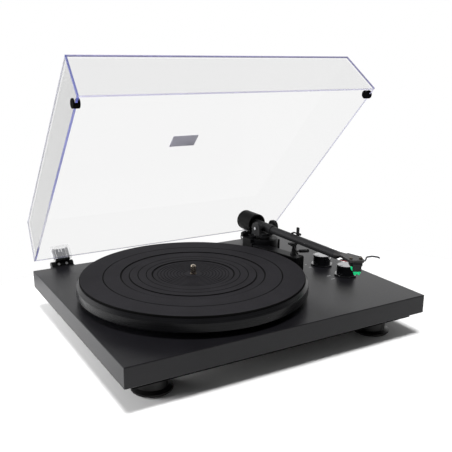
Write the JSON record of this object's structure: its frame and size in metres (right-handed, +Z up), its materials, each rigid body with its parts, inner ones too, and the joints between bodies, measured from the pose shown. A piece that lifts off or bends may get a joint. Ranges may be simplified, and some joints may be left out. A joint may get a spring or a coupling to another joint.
{
  "type": "turntable",
  "caption": "Belt-drive record player on a flat plinth with four feet, a straight tonearm with rest and lift, two knobs and a hinged clear dust cover.",
  "frame": {"origin": "centre of the footprint on the plane that the feet rest on, with the dust cover open as in the picture", "axes": "+X to the right seen from the front, +Y to the back where the dust cover's hinges are, +Z up"},
  "size_m": [0.42, 0.3942, 0.3569],
  "materials": {
    "matte_black_board": "matte black paint on fibreboard",
    "black_plastic": "fine-grained black moulding",
    "black_rubber": "soft matte black rubber",
    "cast_platter": "satin black painted casting",
    "steel": "bright steel",
    "bronze": "sintered bronze",
    "gloss_black": "glossy black",
    "clear_acrylic": "clear polished acrylic",
    "grey_plate": "satin grey",
    "black_metal": "satin black anodised",
    "black_steel": "satin black painted steel",
    "green_plastic": "translucent green",
    "green_board": "solder-masked board",
    "brass": "polished brass"
  },
  "bodies": {
    "base_unit": {"plinth": "matte_black_board", "bottom_cover": "black_plastic", "feet": "black_plastic", "foot_pads": "black_rubber", "foot_screws": "steel", "case_screws": "steel", "bearing_housing": "black_metal", "bearing_bush": "bronze", "thrust_ball": "steel", "motor": "steel", "motor_plate": "steel", "drive_belt": "black_rubber", "knob_plates": "gloss_black", "rotary_switches": "black_plastic", "jack_panel": "black_plastic", "rca_sockets": "brass", "dc_socket": "black_plastic", "ground_post": "brass", "circuit_board": "green_board", "hinge_bases": "black_plastic", "hinge_pins": "steel", "arm_base": "black_plastic", "yaw_bearing": "black_metal", "bias_post": "black_plastic", "lift_housing": "black_plastic", "arm_rest": "black_plastic"},
    "platter_unit": {"platter": "cast_platter", "platter_mat": "black_rubber", "spindle": "steel"},
    "pulley_unit": {"motor_pulley": "brass", "motor_shaft": "steel"},
    "power_dial": {"power_knob": "gloss_black"},
    "speed_dial": {"speed_knob": "gloss_black"},
    "thumb_nut": {"ground_nut": "brass"},
    "slider": {"output_switch": "black_plastic"},
    "lid": {"dust_cover": "clear_acrylic", "lid_bumpers": "black_rubber", "lid_label": "grey_plate", "hinge_leaves": "black_plastic", "hinge_tongues": "steel", "leaf_screws": "steel", "lid_brackets": "clear_acrylic"},
    "bias_dial": {"bias_knob": "black_plastic"},
    "lift_bar": {"lift_piston": "black_steel"},
    "lever": {"cue_lever": "black_steel"},
    "clip": {"rest_clip": "black_plastic"},
    "yoke": {"arm_yoke": "black_metal", "yoke_spindle": "steel", "pivot_screws": "steel"},
    "arm": {"arm_sleeve": "black_metal", "arm_tube": "black_metal", "rear_stub": "black_metal", "headshell": "black_metal", "cartridge": "black_plastic", "stylus": "green_plastic", "cantilever": "black_metal", "cartridge_screws": "brass", "finger_lift": "black_steel"},
    "weight_carrier": {"weight_sleeve": "black_steel"},
    "weight": {"counterweight": "black_metal"}
  },
  "joints": [
    {"name": "platter_spin", "type": "hinge", "parent": "base_unit", "child": "platter_unit", "pos_m": [-0.0491, -0.03988, 0.0796], "axis": [0, 0, 1], "continuous": true},
    {"name": "pulley_spin", "type": "hinge", "parent": "base_unit", "child": "pulley_unit", "pos_m": [-0.1349, 0.03211, 0.0702], "axis": [0, 0, 1], "continuous": true},
    {"name": "lid_hinge", "type": "hinge", "parent": "base_unit", "child": "lid", "pos_m": [0, 0.15742, 0.0551], "axis": [-1, 0, 0], "range_deg": [-46.9, 0]},
    {"name": "arm_yaw", "type": "hinge", "parent": "base_unit", "child": "yoke", "pos_m": [0.1215, 0.04822, 0.1022], "axis": [0, 0, 1], "range_deg": [-50, 0]},
    {"name": "arm_pitch", "type": "hinge", "parent": "yoke", "child": "arm", "pos_m": [0.1215, 0.04822, 0.1022], "axis": [-0.9998, -0.0209, 0], "range_deg": [-0.91, 1.3]},
    {"name": "weight_slide", "type": "slide", "parent": "arm", "child": "weight_carrier", "axis": [-0.0209, 0.9998, 0], "range_m": [-0.004, 0.004]},
    {"name": "weight_turn", "type": "hinge", "parent": "weight_carrier", "child": "weight", "pos_m": [0.12058, 0.09221, 0.1022], "axis": [-0.0209, 0.9998, 0], "range_deg": [-720, 720]},
    {"name": "lever_turn", "type": "hinge", "parent": "base_unit", "child": "lever", "pos_m": [0.135, -0.01478, 0.074], "axis": [1, 0, 0], "range_deg": [0, 35]},
    {"name": "lift_slide", "type": "slide", "parent": "base_unit", "child": "lift_bar", "axis": [0, 0, 1], "range_m": [-0.0035, 0]},
    {"name": "clip_turn", "type": "hinge", "parent": "base_unit", "child": "clip", "pos_m": [0.13274, -0.02243, 0.1067], "axis": [0, 1, 0], "range_deg": [0, 80]},
    {"name": "bias_turn", "type": "hinge", "parent": "base_unit", "child": "bias_dial", "pos_m": [0.1029, 0.05222, 0.0855], "axis": [0, 0, 1], "range_deg": [0, 300]},
    {"name": "power_turn", "type": "hinge", "parent": "base_unit", "child": "power_dial", "pos_m": [0.172, -0.08428, 0.0562], "axis": [0, 0, -1], "range_deg": [0, 32]},
    {"name": "speed_turn", "type": "hinge", "parent": "base_unit", "child": "speed_dial", "pos_m": [0.172, -0.03028, 0.0562], "axis": [0, 0, -1], "range_deg": [0, 32]},
    {"name": "output_slide", "type": "slide", "parent": "base_unit", "child": "slider", "axis": [1, 0, 0], "range_m": [-0.002, 0.002]},
    {"name": "nut_turn", "type": "hinge", "parent": "base_unit", "child": "thumb_nut", "pos_m": [0.096, 0.14872, 0.044], "axis": [0, 1, 0], "range_deg": [0, 360]}
  ],
  "couplings": [
    {"joint": "pulley_spin", "follows": "platter_spin", "ratio": 9.1667},
    {"joint": "weight_slide", "follows": "weight_turn", "m_per_rad": 0.00031831},
    {"joint": "lift_slide", "follows": "lever_turn", "m_per_rad": -0.0057296}
  ]
}
